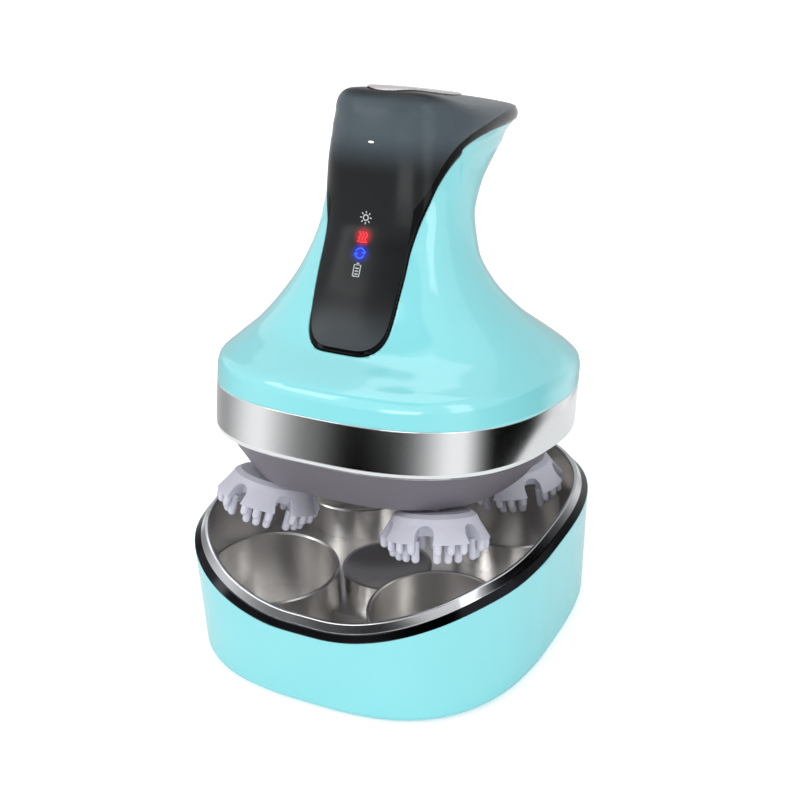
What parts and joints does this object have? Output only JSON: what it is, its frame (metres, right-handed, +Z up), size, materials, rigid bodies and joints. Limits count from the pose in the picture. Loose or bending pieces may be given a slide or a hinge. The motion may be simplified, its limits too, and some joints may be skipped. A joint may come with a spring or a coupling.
{
  "type": "electric scalp massager",
  "caption": "Cordless scalp massager with a flared handle, slanted rotating silicone claw heads and a top power button, lifted above its round-cornered charging dock.",
  "frame": {"origin": "on the surface under the middle of the dock", "axes": "+Z up, the dock's low front and the hand unit's panel face -Y, the top's beak points to +Y"},
  "size_m": [0.1224, 0.1652, 0.1851],
  "materials": {
    "turquoise_abs": "high-gloss moulded ABS",
    "black_abs": "high-gloss moulded ABS",
    "pearl_abs": "pearl painted ABS",
    "chrome_plate": "bright chrome plate on ABS",
    "mirror_plate": "vacuum metallised liner",
    "grey_abs": "satin moulded ABS",
    "inner_abs": "moulded ABS",
    "silicone": "satin silicone",
    "foot_rubber": "matt rubber",
    "seal_rubber": "nitrile rubber",
    "steel": "turned steel",
    "acetal": "moulded acetal",
    "bronze": "sintered bronze",
    "copper_wire": "enamelled copper wire",
    "ferrite": "sintered ferrite",
    "circuit_board": "solder mask on glass epoxy",
    "battery_wrap": "shrink wrap over a cell",
    "clear_acrylic": "clear moulded acrylic"
  },
  "bodies": {
    "dock": {"dock_base_cover": "grey_abs", "dock_charging_board": "circuit_board", "dock_charging_coil": "copper_wire", "dock_deck": "mirror_plate", "dock_feet": "foot_rubber", "dock_ferrite_disc": "ferrite", "dock_liner": "mirror_plate", "dock_power_socket": "steel", "dock_rim_trim": "chrome_plate", "dock_screws": "steel", "dock_shell": "turquoise_abs", "well_insert_front_left": "mirror_plate", "well_insert_front_right": "mirror_plate", "well_insert_rear_left": "mirror_plate", "well_insert_rear_right": "mirror_plate"},
    "hand_unit": {"battery_pack": "battery_wrap", "bell_housing": "turquoise_abs", "charging_receiver": "copper_wire", "chrome_ring": "chrome_plate", "front_cover": "black_abs", "gear_motor": "steel", "gearbox_cover": "inner_abs", "icon_light_guide": "clear_acrylic", "inner_chassis": "inner_abs", "lower_bush_front_left": "bronze", "lower_bush_front_right": "bronze", "lower_bush_rear_left": "bronze", "lower_bush_rear_right": "bronze", "main_board": "circuit_board", "receiver_ferrite": "ferrite", "spindle_seals": "seal_rubber", "switch_board": "circuit_board", "tact_switch": "inner_abs", "underside_screws": "steel", "underside_tub": "grey_abs", "upper_bush_front_left": "bronze", "upper_bush_front_right": "bronze", "upper_bush_rear_left": "bronze", "upper_bush_rear_right": "bronze"},
    "power_button": {"power_button": "pearl_abs"},
    "drive_train": {"drive_gear": "acetal", "drive_shaft": "steel"},
    "claw_head_front_left": {"massage_claw_front_left": "silicone", "head_hub_front_left": "inner_abs", "head_spindle_front_left": "steel", "head_gear_front_left": "acetal"},
    "claw_head_front_right": {"massage_claw_front_right": "silicone", "head_hub_front_right": "inner_abs", "head_spindle_front_right": "steel", "head_gear_front_right": "acetal"},
    "claw_head_rear_right": {"massage_claw_rear_right": "silicone", "head_hub_rear_right": "inner_abs", "head_spindle_rear_right": "steel", "head_gear_rear_right": "acetal"},
    "claw_head_rear_left": {"massage_claw_rear_left": "silicone", "head_hub_rear_left": "inner_abs", "head_spindle_rear_left": "steel", "head_gear_rear_left": "acetal"}
  },
  "joints": [
    {"name": "hand_lift", "type": "hinge", "parent": "dock", "child": "hand_unit", "pos_m": [0, 0.1598, 0.02925], "axis": [-1, 0, 0], "range_deg": [-11, 12]},
    {"name": "button_press", "type": "slide", "parent": "hand_unit", "child": "power_button", "axis": [0, -0.1908, -0.9816], "range_m": [0, 0.0006], "stiffness_N_per_m": 1500},
    {"name": "drive_spin", "type": "hinge", "parent": "hand_unit", "child": "drive_train", "pos_m": [0, 0.008, 0.0858], "axis": [0, 0.1908, 0.9816], "continuous": true},
    {"name": "head_spin_front_left", "type": "hinge", "parent": "hand_unit", "child": "claw_head_front_left", "pos_m": [-0.0295, -0.02952, 0.06049], "axis": [0.1409, 0.3367, 0.931], "continuous": true},
    {"name": "head_spin_front_right", "type": "hinge", "parent": "hand_unit", "child": "claw_head_front_right", "pos_m": [0.0295, -0.02952, 0.06049], "axis": [-0.1409, 0.3367, 0.931], "continuous": true},
    {"name": "head_spin_rear_right", "type": "hinge", "parent": "hand_unit", "child": "claw_head_rear_right", "pos_m": [0.0295, 0.03331, 0.04828], "axis": [-0.1409, 0.0366, 0.9893], "continuous": true},
    {"name": "head_spin_rear_left", "type": "hinge", "parent": "hand_unit", "child": "claw_head_rear_left", "pos_m": [-0.0295, 0.03331, 0.04828], "axis": [0.1409, 0.0366, 0.9893], "continuous": true}
  ],
  "couplings": [
    {"joint": "head_spin_front_left", "follows": "drive_spin", "ratio": -1.3077},
    {"joint": "head_spin_front_right", "follows": "drive_spin", "ratio": -1.3077},
    {"joint": "head_spin_rear_right", "follows": "drive_spin", "ratio": -1.3077},
    {"joint": "head_spin_rear_left", "follows": "drive_spin", "ratio": -1.3077}
  ]
}
